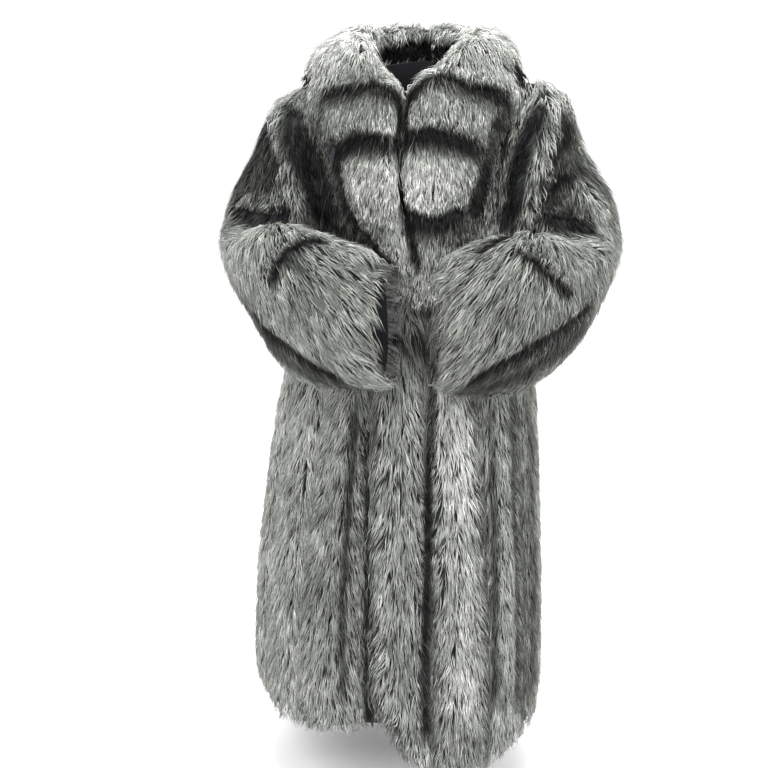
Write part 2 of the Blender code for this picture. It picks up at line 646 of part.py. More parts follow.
def face_tree(grid):
    """Search tree of one face of a panel."""
    rows, cols = grid.shape[:2]
    corners = [(r * cols + c, r * cols + c + 1, (r + 1) * cols + c + 1, (r + 1) * cols + c)
               for r in range(rows - 1) for c in range(cols - 1)]
    triangles = [t for a, b, c, d in corners for t in ((a, b, c), (a, c, d))]
    return BVHTree.FromPolygons([Vector(p) for p in grid.reshape(-1, 3)], triangles)


for thing in list(bpy.data.objects):
    bpy.data.objects.remove(thing, do_unlink=True)

SILVER, SHADE, PALE = (0.40, 0.41, 0.43), (0.30, 0.31, 0.33), (0.50, 0.51, 0.53)
panels = {"front_left": make_front(1), "front_right": make_front(-1), "back": make_back()}
build("front_left", *panels["front_left"], SILVER)
build("front_right", *panels["front_right"], SHADE)
build("back", *panels["back"], SILVER)
build("sleeve_left", *make_sleeve(1), PALE, closed=True)
build("sleeve_right", *make_sleeve(-1), PALE, closed=True)
faces = [face_tree(outer) for _, outer in panels.values()]
build("collar_left", *make_collar(1, faces), PALE)
build("collar_right", *make_collar(-1, faces), PALE)
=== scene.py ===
"""The finish of a full-length silver fox coat: seven pelts with dense underfur, and on each the long
guard hair in overlapping locks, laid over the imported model."""
import math

import bmesh
import bpy
import numpy as np
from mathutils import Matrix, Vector
from mathutils.bvhtree import BVHTree
from mathutils.interpolate import poly_3d_calc
from mathutils.noise import noise


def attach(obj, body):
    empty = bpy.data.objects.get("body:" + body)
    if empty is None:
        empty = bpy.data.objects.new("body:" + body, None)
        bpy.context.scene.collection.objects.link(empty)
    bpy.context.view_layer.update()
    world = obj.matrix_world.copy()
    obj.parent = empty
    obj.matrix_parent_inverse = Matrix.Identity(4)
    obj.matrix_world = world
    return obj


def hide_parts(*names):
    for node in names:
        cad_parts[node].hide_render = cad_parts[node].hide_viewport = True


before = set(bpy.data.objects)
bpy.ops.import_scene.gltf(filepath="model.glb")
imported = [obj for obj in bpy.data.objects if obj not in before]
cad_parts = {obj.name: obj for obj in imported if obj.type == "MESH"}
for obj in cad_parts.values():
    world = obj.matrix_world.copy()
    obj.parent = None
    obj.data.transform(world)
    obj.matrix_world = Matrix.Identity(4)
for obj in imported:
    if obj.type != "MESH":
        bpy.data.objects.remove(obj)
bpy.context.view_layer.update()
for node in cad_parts.values():
    node.select_set(False)

# Camera, floor and light.
# The coat hangs in the air on its wearer's shoulders, its hem a hand's width above a pale floor.
# Large soft lamps stand in front to both sides and overhead, in a white room.
FLOOR_Z = -1.48
CAMERA_AT = (0.3201, -2.2776, 0.13)
CAMERA_DOWN = math.radians(18.01)
CAMERA_TURN = math.radians(9.61)

camera_data = bpy.data.cameras.new("camera")
camera_data.sensor_width = 36
camera_data.lens = 54.93
camera_data.clip_start = 0.05
camera = bpy.data.objects.new("camera", camera_data)
camera.location = CAMERA_AT
camera.rotation_euler = (math.pi / 2 - CAMERA_DOWN, 0, CAMERA_TURN)
bpy.context.scene.collection.objects.link(camera)
bpy.context.scene.camera = camera

bpy.ops.mesh.primitive_plane_add(size=30, location=(0, 0, FLOOR_Z))
floor = bpy.context.object
floor.name = "floor"
floor.data.transform(floor.matrix_world)
floor.matrix_world.identity()


def linear(hex_colour):
    """An sRGB hex colour as linear RGBA."""
    parts = [int(hex_colour[i:i + 2], 16) / 255 for i in (1, 3, 5)]
    return (*[c / 12.92 if c <= 0.04045 else ((c + 0.055) / 1.055) ** 2.4 for c in parts], 1)


def add(tree, kind, settings=None, **links):
    """Add a node with its settings; links go to the sockets named or numbered."""
    node = tree.nodes.new(kind)
    for key, value in (settings or {}).items():
        if isinstance(key, int) or key in node.inputs:
            node.inputs[key].default_value = value
        else:
            setattr(node, key, value)
    for key, source in links.items():
        socket = node.inputs[int(key[1:])] if key[0] == "i" and key[1:].isdigit() else node.inputs[key]
        tree.links.new(source, socket)
    return node


def new_finish(name, **constants):
    """A material with its constant values set on the shader, and its node tree."""
    material = bpy.data.materials.new(name)
    material.use_nodes = True
    shader = material.node_tree.nodes["Principled BSDF"]
    for key, value in constants.items():
        shader.inputs[key.replace("_", " ").title().replace("Ior", "IOR")].default_value = value
    return material, material.node_tree, shader


# Matt floor paint, faintly mottled.
paint, tree, shader = new_finish("matt_floor_paint", roughness=0.8)
place = add(tree, "ShaderNodeTexCoord").outputs["Object"]
mottle = add(tree, "ShaderNodeTexNoise", {"Scale": 3.0, "Detail": 2.0}, Vector=place)
tint = add(tree, "ShaderNodeMix", {"data_type": "RGBA", 6: linear("#f8f8f9"), 7: linear("#fefefe")},
           Factor=mottle.outputs["Fac"])
tree.links.new(tint.outputs[2], shader.inputs["Base Color"])
floor.data.materials.append(paint)

room = bpy.data.worlds.new("white_room")
room.use_nodes = True
room.node_tree.nodes["Background"].inputs["Color"].default_value = linear("#fefefe")
room.node_tree.nodes["Background"].inputs["Strength"].default_value = 1.04
bpy.context.scene.world = room
bpy.context.scene.view_settings.view_transform = "Standard"

# name, where it stands, side in metres, watts
LAMPS = (
    ("lamp_front", (-0.9, -2.4, 1.5), 1.6, 60),
    ("lamp_side", (2.4, -1.6, 1.2), 1.8, 45),
    ("lamp_over", (0.2, 0.3, 2.6), 2.2, 60),
    ("lamp_back", (-0.6, 2.8, 1.4), 1.8, 50),
)
for name, stand, side, watts in LAMPS:
    lamp = bpy.data.lights.new(name, "AREA")
    lamp.size = side
    lamp.energy = watts
    lamp_object = bpy.data.objects.new(name, lamp)
    lamp_object.location = stand
    aim = Vector((0, 0, -0.6)) - Vector(stand)
    lamp_object.rotation_euler = aim.to_track_quat("-Z", "Y").to_euler()
    bpy.context.scene.collection.objects.link(lamp_object)

# The back: one pelt from armhole to armhole, of upright let-out strips.
# A pelt is leather, sueded and dyed on the side the wearer feels, under a dense dark underfur;
# the leather side is the inner face of the node's wall, and the guard hair reaches its outer face.
MM = 0.001
DOUBLE = 0.02 * MM            # points of the wall's loose faces this close are one
SHARP = math.radians(42)      # the leather side ends where the wall turns by more than this
QUAD_TURN = 1.2               # radians between two triangles that are joined
DEEPEST = 80 * MM             # no wall is deeper
LEAST_DEPTH = 3 * MM          # faces nearer than this are the leather side's own
BEHIND = 0.5 * MM             # a ray starts again this far behind a face that it passes
UNDERFUR_SHARE = 0.42         # of the wall's depth
UNDERFUR_MOST = 15 * MM
UNDERFUR_LEAST = 1.6 * MM
UNDERFUR_CREASE = math.radians(50)
REACH = 45 * MM               # from the crown of a strip or band to its groove, at most
RIDGE_HALF = 14 * MM          # a crown is compared with a groove this near beside it
PLAIN_SWING = 9 * MM          # a wall whose depth swings by less than this has no groove there
PLAIN_SILVER = 0.8            # silver of a wall without grooves


def unit(v):
    """Vectors of length 1 that point the same way."""
    return v / np.maximum(np.linalg.norm(v, axis=-1, keepdims=True), 1e-9)


def leather_side(node, start, toward):
    """The inner face of a node's wall, smoothed once, and a search tree of the wall. The rim round
    the wall, which joins its two faces, is made of fans of four triangles."""
    shape = bmesh.new()
    shape.from_mesh(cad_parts[node].data)
    bmesh.ops.remove_doubles(shape, verts=shape.verts, dist=DOUBLE)
    shape.normal_update()
    wall = BVHTree.FromBMesh(shape)
    shape.faces.ensure_lookup_table()
    start = Vector(start)
    seed = wall.ray_cast(start, (Vector(toward) - start).normalized())[2]
    rim = {face for point in shape.verts if len(point.link_faces) == 4 for face in point.link_faces}
    queue = [shape.faces[seed]]
    side = set(queue)
    while queue:
        face = queue.pop()
        for edge in face.edges:
            for near in edge.link_faces:
                if near not in side and near not in rim and near.normal.angle(face.normal, math.pi) < SHARP:
                    side.add(near)
                    queue.append(near)
    bmesh.ops.delete(shape, geom=[f for f in shape.faces if f not in side], context="FACES")
    mesh = bpy.data.meshes.new(node + "_pelt")
    shape.to_mesh(mesh)
    shape.free()
    piece = bpy.data.objects.new(node + "_pelt", mesh)
    bpy.context.scene.collection.objects.link(piece)
    bpy.context.view_layer.objects.active = piece
    piece.select_set(True)
    bpy.ops.object.mode_set(mode="EDIT")
    bpy.ops.mesh.select_all(action="SELECT")
    bpy.ops.mesh.tris_convert_to_quads(face_threshold=QUAD_TURN, shape_threshold=QUAD_TURN)
    bpy.ops.object.mode_set(mode="OBJECT")
    smooth = piece.modifiers.new("smooth", "SUBSURF")
    smooth.levels = smooth.render_levels = 1
    bpy.ops.object.modifier_apply(modifier="smooth")
    piece.select_set(False)
    return piece, wall


def wall_depth(wall, spot, out):
    """How deep the wall is over a spot on its leather side. Inner faces close by are passed."""
    ahead = LEAST_DEPTH
    for _ in range(3):
        hit, way, _, run = wall.ray_cast(spot + out * ahead, out, DEEPEST)
        if hit is None:
            return LEAST_DEPTH
        if way.dot(out) > 0:
            return ahead + run
        ahead += run + BEHIND
    return ahead


def measure(piece, wall, ridge, contrast=1.0):
    """At each point of a leather side: its place, the outward way, the wall's depth, and its silver,
    which is 1 on a crown and lower by the contrast in a groove, for the groove's darker dorsal hair
    and for painted shade there. ridge(spot) is the way in which crowns and grooves run."""
    points = piece.data.vertices
    place = np.array([p.co for p in points])
    out = -np.array([p.normal for p in points])
    depth = np.array([wall_depth(wall, p.co, -p.normal) for p in points])
    silver = np.zeros(len(points))
    for i, spot in enumerate(place):
        way = unit(np.array(ridge(Vector(spot))))
        away = place - spot
        near = (np.abs(away @ way) < RIDGE_HALF) & (np.linalg.norm(away, axis=1) < REACH)
        close = depth[near]
        swing = close.max() - close.min()
        plain = 1 - min(swing / PLAIN_SWING, 1)
        silver[i] = max((depth[i] - close.min()) / max(swing, MM), plain * PLAIN_SILVER)
    return place, out, depth, 1 - contrast * (1 - silver)


def grow_underfur(piece, depth):
    """Give the leather side its underfur: a closed shell, thicker where the wall is deeper."""
    group = piece.vertex_groups.new(name="underfur")
    for i, high in enumerate(np.clip(UNDERFUR_SHARE * depth, UNDERFUR_LEAST, UNDERFUR_MOST)):
        group.add([i], high / UNDERFUR_MOST, "REPLACE")
    bpy.context.view_layer.objects.active = piece
    piece.select_set(True)
    shell = piece.modifiers.new("underfur", "SOLIDIFY")
    shell.thickness = UNDERFUR_MOST
    shell.offset = -1
    shell.vertex_group = "underfur"
    shell.material_offset = 1
    shell.material_offset_rim = 1
    bpy.ops.object.modifier_apply(modifier="underfur")
    bpy.ops.object.shade_smooth_by_angle(angle=UNDERFUR_CREASE)
    piece.select_set(False)


WIDTH = 2.1 * MM       # of a hair, drawn as coarse as a render shows it
WIDTHS = (0.7, 1.3)    # thinnest and broadest hair, as shares of it
THICKNESS = 0.7        # of a hair, as a share of its width
LENGTH = 60 * MM
LENGTHS = (0.66, 1.056)      # shortest and longest lock, as shares of the length
LOCK_SPREAD = 6.0 * MM       # how far a lock's hairs stand from its middle, to the side
SPREAD_ALONG = 1.5     # and along it, as a multiple of that
CUT_SPREAD = 0.35      # share of the spread along it that a lock keeps when it ends early
STRAY = 2.2 * MM       # how far single tips stray
TURN = 0.10            # and how much each lock turns by chance, in radians
FULL_DEPTH = 22 * MM   # hair is shorter where the wall is less deep than this
SHORTEST = 0.25        # share of its length that it would keep on a wall of no depth
THIN = 5 * MM          # a wall less deep than this carries no lock
RIDE = 0.8             # share of the wall's depth at which a lock's middle lies
RISES = (0.84, 1.04)   # lowest and highest hair of a lock, as shares of its height
FAN = 1.3              # how much the hair turns from the crown of a strip to its grooves
SLOPE_REACH = 10 * MM  # how far to each side the wall's slope is taken
SLOPE_MOST = 0.6
OVERHANG = 14 * MM     # how far hair reaches past a pelt's edge
DROOP = 0.4            # share of its height that it loses by there
UPRIGHT = 0.3          # how much a lock keeps of the outward way at its middle
STOPS = (-0.3, 0.25, 0.8)    # root, belly and tip of a lock, as shares of its length from its middle
LEVELS = ((0.30, 1.0), (0.84, 0.8), (1.0, 0.45))    # their share of the depth, and of the lock's spread
CUTS = (0.25, 0.4, 0.55, 0.7)    # places where a lock may end early
PAST_CUT = 0.1         # what it keeps beyond, as a share of its length
OPEN = 0.5             # a spot that keeps more light than this lies outside the dark lines
SHUT = 0.45            # and one that keeps less lies in one
NEAR_DARK = 0.1        # a spot whose silver is this little above the dark lies in a groove
SINK = 0.42            # how far the hair sinks in a dark line
PATCHES = (13, 0.18)   # light and dark patches: how many in a metre, and how strong
LEAST_TONE = 0.03
TONE_POWER = 0.9       # bends the tones between dark and full light
HAIR_TONES = 0.08      # how much the hairs of a lock differ in tone
BLACK_HAIRS = (0.04, 0.35)   # share of the guard hairs that are black all along, and their tone
MAP_ALONG = (0.03, 0.44, 0.5, 0.56, 0.97)    # of a hair's root, its ring of three and its tip
MAP_APART = 0.012      # how far the ring's points stand apart in tone


def hair_piece(name, roots, rings, tips, tones):
    """One mesh of closed hairs: each a root, a ring of three at its belly, and a tip.
    rings is count x 3 x 3, tones count x 3 for root, belly and tip. The map's first axis is the way
    along the hair and its second the tone; the ring is spread a little, so no face is empty in it."""
    count = len(roots)
    points = np.concatenate([roots[:, None], rings, tips[:, None]], 1).reshape(-1, 3)
    corners = np.array([(0, 2, 1), (0, 3, 2), (0, 1, 3), (4, 1, 2), (4, 2, 3), (4, 3, 1)])
    faces = (corners[None] + 5 * np.arange(count)[:, None, None]).reshape(-1)
    mesh = bpy.data.meshes.new(name)
    mesh.vertices.add(5 * count)
    mesh.vertices.foreach_set("co", points.ravel())
    mesh.loops.add(18 * count)
    mesh.loops.foreach_set("vertex_index", faces.astype(np.int32))
    mesh.polygons.add(6 * count)
    mesh.polygons.foreach_set("loop_start", np.arange(0, 18 * count, 3, dtype=np.int32))
    mesh.polygons.foreach_set("use_smooth", np.ones(6 * count, bool))
    mesh.update(calc_edges=True)
    mesh.validate()
    along = np.tile(MAP_ALONG, (count, 1))
    root, belly, tip = tones.T
    tone = np.stack([root, belly - MAP_APART, belly + MAP_APART, belly, tip], 1)
    at = np.stack([along, np.clip(tone, 0.01, 0.99)], 2).reshape(-1, 2)
    sheet = mesh.uv_layers.new(name="OFBake")
    sheet.data.foreach_set("uv", at[faces].astype(np.float32).ravel())
    piece = bpy.data.objects.new(name, mesh)
    bpy.context.scene.collection.objects.link(piece)
    return piece


def plant(piece, field, count, rng):
    """Spots of count locks on a leather side, spread evenly over the face that their tips make."""
    place, out, depth, _ = field
    piece.data.calc_loop_triangles()
    corner = np.array([t.vertices[:] for t in piece.data.loop_triangles])
    a, b, c = np.moveaxis((place + out * RIDE * depth[:, None])[corner], 1, 0)
    area = np.linalg.norm(np.cross(b - a, c - a), axis=1)
    a, b, c = np.moveaxis(place[corner], 1, 0)
    run = np.cumsum(area) / area.sum()
    pick = np.searchsorted(run, (np.arange(count) + rng.random(count)) / count)
    pick = np.minimum(pick, len(run) - 1)
    u, v = rng.random((2, count, 1))
    over = u + v > 1
    u, v = np.where(over, 1 - u, u), np.where(over, 1 - v, v)
    return a[pick] * (1 - u - v) + b[pick] * u + c[pick] * v


SOFT_FROM = 20 * MM    # a line is a soft shade from this half width on


def near_lines(spots, lines):
    """Share of its light that each spot keeps beside dark lines, each a half width, a darkness and
    points; some lines are dark hair and some painted shade in folds, gaps and hollows, and a light line,
    with a darkness below nought, is a painted highlight. Narrow lines are crisp and wide shades soft."""
    keep = np.ones(len(spots))
    for half, dark, points in lines:
        points = np.array(points)
        closest = np.full(len(spots), np.inf)
        for a, b in zip(points[:-1], points[1:]):
            share = np.clip((spots - a) @ (b - a) / ((b - a) @ (b - a)), 0, 1)[:, None]
            closest = np.minimum(closest, np.linalg.norm(spots - a - (b - a) * share, axis=1))
        keep *= 1 - dark * np.exp(-((closest / half) ** (3 if half < SOFT_FROM else 2)))
    return keep


def lay_hair(piece, field, locks, per_lock, flow, seed, lines=(), wide_shade=None, length=LENGTH, fan=FAN,
             light=0.68, hang=0.4, streaks=0.065, groove=(0.08, 0.62), overhang=OVERHANG):
    """Cover a pelt with locks of hair that follow flow(spot), open towards grooves and dark lines, and
    end there. The function for wide areas paints shade over them: it gives the light that they keep.
    The argument hang is the share of its silver that a lock keeps at its tip in a groove, and groove the
    silver where dark ends and where full light starts."""
    rng = np.random.default_rng(seed)
    dark_to, light_from = groove
    place, out, depth, silver = field
    side = BVHTree.FromObject(piece, bpy.context.evaluated_depsgraph_get())
    corners = [face.vertices[:] for face in piece.data.polygons]

    def read(spot):
        """The nearest place on the leather side, with the outward way, depth and silver there."""
        near, _, face, _ = side.find_nearest(spot)
        at = list(corners[face])
        share = np.array(poly_3d_calc([Vector(place[i]) for i in at], near))
        return near, Vector(share @ out[at]).normalized(), share @ depth[at], share @ silver[at]

    starts = []
    for spot in plant(piece, field, locks, rng):
        near, up, high, bright = read(Vector(spot))
        if high < THIN:
            continue
        way = flow(near)
        way = (way - up * way.dot(up)).normalized()
        across = up.cross(way)
        sideways = across * SLOPE_REACH
        slope = (read(near + sideways)[2] - read(near - sideways)[2]) / (2 * SLOPE_REACH)
        turn = max(-SLOPE_MOST, min(SLOPE_MOST, slope)) * fan + rng.normal(0, TURN)
        way = (way - across * turn).normalized()
        across = up.cross(way)
        above = near + up * (RIDE * high)
        long = length * rng.uniform(*LENGTHS) * min(1.0, SHORTEST + (1 - SHORTEST) * high / FULL_DEPTH)
        starts.append((above, way, across, up, bright, long))
    middle, ways = (np.array([start[i] for start in starts]) for i in (0, 1))
    reach = np.array([start[5] for start in starts])[:, None]
    open_now = near_lines(middle, lines) > OPEN
    dark_next = [near_lines(middle + ways * reach * share, lines) < SHUT for share in CUTS]

    stops, forward, across_way, tones, cut = [], [], [], [], []
    for i, (above, way, across, up, bright, long) in enumerate(starts):
        whole = long
        for j, share in enumerate(CUTS):
            ahead = read(above + way * (long * share))[3]
            groove_next = bright > light_from / 2 and ahead < dark_to + NEAR_DARK
            if groove_next or (open_now[i] and dark_next[j][i]):
                long *= share + PAST_CUT
                break
        row, tone = [], []
        for share in STOPS:
            target = above + way * (long * share)
            base, top, high, silver_here = read(target)
            past = max(-overhang, min(overhang, (target - base).dot(way)))
            base = base + way * past
            top = (top + up * UPRIGHT).normalized()
            row.append((base, top * (high * (1 - DROOP * abs(past) / overhang))))
            tone.append(max(silver_here, hang * max(share, 0) * bright))
        stops.append(row)
        forward.append(way)
        across_way.append(across)
        tones.append(tone)
        cut.append(long < whole)
    count = len(stops)
    stops, forward, across_way = np.array(stops), np.array(forward), np.array(across_way)
    patch = np.array([noise(Vector(p) * PATCHES[0]) for p in stops[:, 0, 0]])[:, None]
    tones = light * np.clip((np.array(tones) - dark_to) / (light_from - dark_to), 0, 1) ** TONE_POWER
    tones = tones * (1 + rng.normal(0, streaks, (count, 1)) / light + PATCHES[1] * patch)

    lock = np.repeat(np.arange(count), per_lock)
    many = len(lock)
    aside = rng.normal(0, LOCK_SPREAD, (many, 1))
    along = rng.normal(0, LOCK_SPREAD * SPREAD_ALONG, (many, 1))
    along *= np.where(cut, CUT_SPREAD, 1)[lock][:, None]
    low = rng.uniform(*RISES, (many, 1))
    tone = tones[lock] * (1 + rng.normal(0, HAIR_TONES, (many, 1)))
    path = []
    for i, (rise, stay) in enumerate(LEVELS):
        over = stops[lock, i, 1] * rise * low
        at = stops[lock, i, 0] + over + (across_way[lock] * aside + forward[lock] * along) * stay
        keep = near_lines(at, lines)
        tone[:, i] *= keep * (wide_shade(at) if wide_shade else 1)
        path.append(at - over * SINK * (1 - np.minimum(keep, 1))[:, None])
    path[2] += rng.normal(0, STRAY, (many, 3))
    run = unit(path[2] - path[0])
    flat = unit(np.cross(stops[lock, 1, 1], run))
    thick = np.cross(run, flat)
    half = (WIDTH / 2) * rng.uniform(*WIDTHS, (many, 1))
    ring = np.stack([path[1] + half * (math.cos(turn) * flat + THICKNESS * math.sin(turn) * thick)
                     for turn in (math.pi / 2, math.pi * 7 / 6, math.pi * 11 / 6)], 1)
    tone += LEAST_TONE
    tone = tone * np.where(rng.random((many, 1)) < BLACK_HAIRS[0], BLACK_HAIRS[1], 1)
    return path[0], ring, path[2], tone


MOST_HAIRS = 33000     # in one piece


def share_out(name, parts):
    """A pelt's hair as one piece, or as a few where it is more than a piece may hold."""
    roots, rings, tips, tones = parts
    pieces = math.ceil(len(roots) / MOST_HAIRS)
    made = []
    for i in range(pieces):
        pick = slice(i * len(roots) // pieces, (i + 1) * len(roots) // pieces)
        label = f"{name}_hair_{i + 1}" if pieces > 1 else f"{name}_hair"
        made.append(hair_piece(label, roots[pick], rings[pick], tips[pick], tones[pick]))
    return made


# Leather dyed charcoal and sueded: a fine nap that is even to the eye, faintly blotched.
suede, tree, shader = new_finish("dyed_sueded_leather", roughness=0.9, specular_ior_level=0.2)
place = add(tree, "ShaderNodeTexCoord").outputs["Object"]
blotch = add(tree, "ShaderNodeTexNoise", {"Scale": 30.0, "Detail": 3.0}, Vector=place)
tint = add(tree, "ShaderNodeMix", {"data_type": "RGBA", 6: linear("#26272a"), 7: linear("#37383b")},
           Factor=blotch.outputs["Fac"])
tree.links.new(tint.outputs[2], shader.inputs["Base Color"])

# Underfur: dense, crimped, slate grey down, matt, with soft upright streaks. It is coloured near
# black, darker than the down itself, which paints in the shade deep in the fur.
underfur, tree, shader = new_finish("slate_underfur", roughness=0.95, specular_ior_level=0.05)
place = add(tree, "ShaderNodeTexCoord").outputs["Object"]
stretch = add(tree, "ShaderNodeMapping", {"Scale": (1, 1, 0.25)}, Vector=place)
streak = add(tree, "ShaderNodeTexNoise", {"Scale": 220.0, "Detail": 3.0}, Vector=stretch.outputs[0])
tint = add(tree, "ShaderNodeMix", {"data_type": "RGBA", 6: linear("#060707"), 7: linear("#191a1a")},
           Factor=streak.outputs["Fac"])
tree.links.new(tint.outputs[2], shader.inputs["Base Color"])

# Guard hair: keratin, fine and silky, black at the root with a silver band and some black tips. In a
# dense coat neighbouring hairs swallow most of the gloss, so its level is low and the black stays deep.
# Its own map gives the way along the hair and its shade, so the colour needs nothing else.
guard_hair, tree, shader = new_finish("silver_fox_guard_hair", roughness=0.5, ior=1.55,
                                      specular_ior_level=0.12)
sheet = add(tree, "ShaderNodeUVMap", {"uv_map": "OFBake"}).outputs[0]
parts = add(tree, "ShaderNodeSeparateXYZ", Vector=sheet)
shade = add(tree, "ShaderNodeValToRGB", Fac=parts.outputs["Y"])
SHADES = ((0.0, "#070808"), (0.25, "#272927"), (0.45, "#646661"), (0.7, "#b1b4ae"), (0.95, "#edeeea"))
for i, (place, colour) in enumerate(SHADES):
    stop = shade.color_ramp.elements[i] if i < 1 else shade.color_ramp.elements.new(place)
    stop.position = place
    stop.color = linear(colour)
root = add(tree, "ShaderNodeValToRGB", Fac=parts.outputs["X"])
ROOT_TO_TIP = ((0.0, 0.10), (0.40, 0.9), (0.60, 1.0), (0.98, 0.75))
for i, (place, grey) in enumerate(ROOT_TO_TIP):
    stop = root.color_ramp.elements[i] if i < 1 else root.color_ramp.elements.new(place)
    stop.position = place
    stop.color = (grey, grey, grey, 1)
whole = add(tree, "ShaderNodeMix", {"data_type": "RGBA", "blend_type": "MULTIPLY", 0: 1.0},
            i6=shade.outputs[0], i7=root.outputs[0])
tree.links.new(whole.outputs[2], shader.inputs["Base Color"])


def finish_pelt(node, piece, hairs):
    """Give a pelt and its hair their finish and their place in the frame."""
    piece.data.materials.clear()
    piece.data.materials.append(suede)
    piece.data.materials.append(underfur)
    for hair in hairs:
        hair.data.materials.append(guard_hair)
        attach(hair, "root")
    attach(piece, "root")
    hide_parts(node)


SPREAD_DOWN = 0.15     # how much the hair leans away from the middle, in a metre


def down(spot):
    """Body hair lies nearly straight down."""
    return Vector((SPREAD_DOWN * spot.x, SPREAD_DOWN * spot.y, -1))


# The back's grooves are darker partly for their dark dorsal hair and partly by painted shade.
BACK_CONTRAST = 0.75          # how much darker its grooves are than its crowns
BACK_LOCKS = 6000
PER_LOCK = 6                  # hairs in a lock

piece, wall = leather_side("back", (0, 0, -0.7), (0, 1, -0.7))
field = measure(piece, wall, down, BACK_CONTRAST)
hair = lay_hair(piece, field, BACK_LOCKS, PER_LOCK, down, 11)
grow_underfur(piece, field[2])
finish_pelt("back", piece, share_out("back", hair))

# The two fronts: the left one laps over the right one, and its edge is the closer one.
# Dark dorsal hair runs down where two strips meet, deepest beside the lap and under the arms, where
# painted shade darkens it. Wide soft lines are painted shade, under the hands and beside and below
# the collar, and a light line is a painted highlight.
# Each line has its half width, its darkness and its points.
FRONT_LINES = {
    "front_left": (
        (9 * MM, 0.75, ((0.065, -0.200, -0.520), (0.060, -0.230, -0.670), (0.065, -0.260, -0.865),
                        (0.065, -0.285, -1.065), (0.070, -0.300, -1.260))),
        (12 * MM, 0.45, ((0.170, -0.160, -0.560), (0.185, -0.180, -0.785), (0.195, -0.195, -0.995),
                         (0.200, -0.205, -1.215))),
        (14 * MM, 0.45, ((0.210, -0.110, -0.560), (0.225, -0.135, -0.800), (0.240, -0.140, -1.020),
                         (0.245, -0.145, -1.250))),
        (34 * MM, 0.45, ((0.260, -0.060, -0.600), (0.270, -0.080, -0.850), (0.285, -0.090, -1.250))),
        # a painted highlight: a lighter stripe down the strip
        (34 * MM, -0.22, ((0.120, -0.200, -0.620), (0.130, -0.235, -0.810), (0.140, -0.260, -1.010),
                          (0.145, -0.270, -1.180))),
        # painted shadow under the hands
        (26 * MM, 0.50, ((-0.010, -0.215, -0.470), (0.050, -0.195, -0.490))),
        # painted shade in the armpit
        (19 * MM, 0.90, ((0.235, -0.065, -0.060), (0.220, -0.085, -0.095), (0.210, -0.095, -0.125),
                         (0.200, -0.110, -0.165), (0.200, -0.120, -0.210), (0.190, -0.125, -0.250))),
        (9 * MM, 0.80, ((0.200, -0.040, 0.000), (0.190, -0.070, -0.030), (0.180, -0.090, -0.065),
                        (0.170, -0.090, -0.110), (0.175, -0.100, -0.200))),
    ),
    "front_right": (
        # painted shade beside the collar's outer edge
        (34 * MM, 0.45, ((-0.185, -0.090, -0.100), (-0.165, -0.130, -0.190), (-0.130, -0.150, -0.260))),
        (12 * MM, 0.80, ((-0.050, -0.200, -0.560), (-0.060, -0.200, -0.700), (-0.055, -0.225, -0.890),
                         (-0.055, -0.250, -1.100), (-0.050, -0.260, -1.300))),
        (10 * MM, 0.50, ((-0.090, -0.185, -0.595), (-0.100, -0.215, -0.795), (-0.110, -0.240, -1.000),
                         (-0.110, -0.260, -1.215))),
        # painted shade in the armpit
        (30 * MM, 0.85, ((-0.235, -0.080, -0.070), (-0.225, -0.095, -0.115), (-0.200, -0.105, -0.160),
                         (-0.180, -0.125, -0.200), (-0.165, -0.125, -0.255))),
        # painted shade below the collar
        (24 * MM, 0.45, ((-0.120, -0.130, -0.300), (-0.060, -0.160, -0.380), (-0.040, -0.170, -0.440))),
    ),
}
FRONT_LOCKS = 3900
# node, a point beyond it as seen from the coat's middle, seed, contrast of its grooves
FRONTS = (
    ("front_left", (0.12, -1, -0.7), 21, 0.6),
    ("front_right", (-0.15, -1, -0.7), 22, 0.4),
)
for node, toward, seed, contrast in FRONTS:
    piece, wall = leather_side(node, (0, 0, -0.7), toward)
    field = measure(piece, wall, down, contrast)
    hair = lay_hair(piece, field, FRONT_LOCKS, PER_LOCK, down, seed, FRONT_LINES[node])
    grow_underfur(piece, field[2])
    finish_pelt(node, piece, share_out(node, hair))
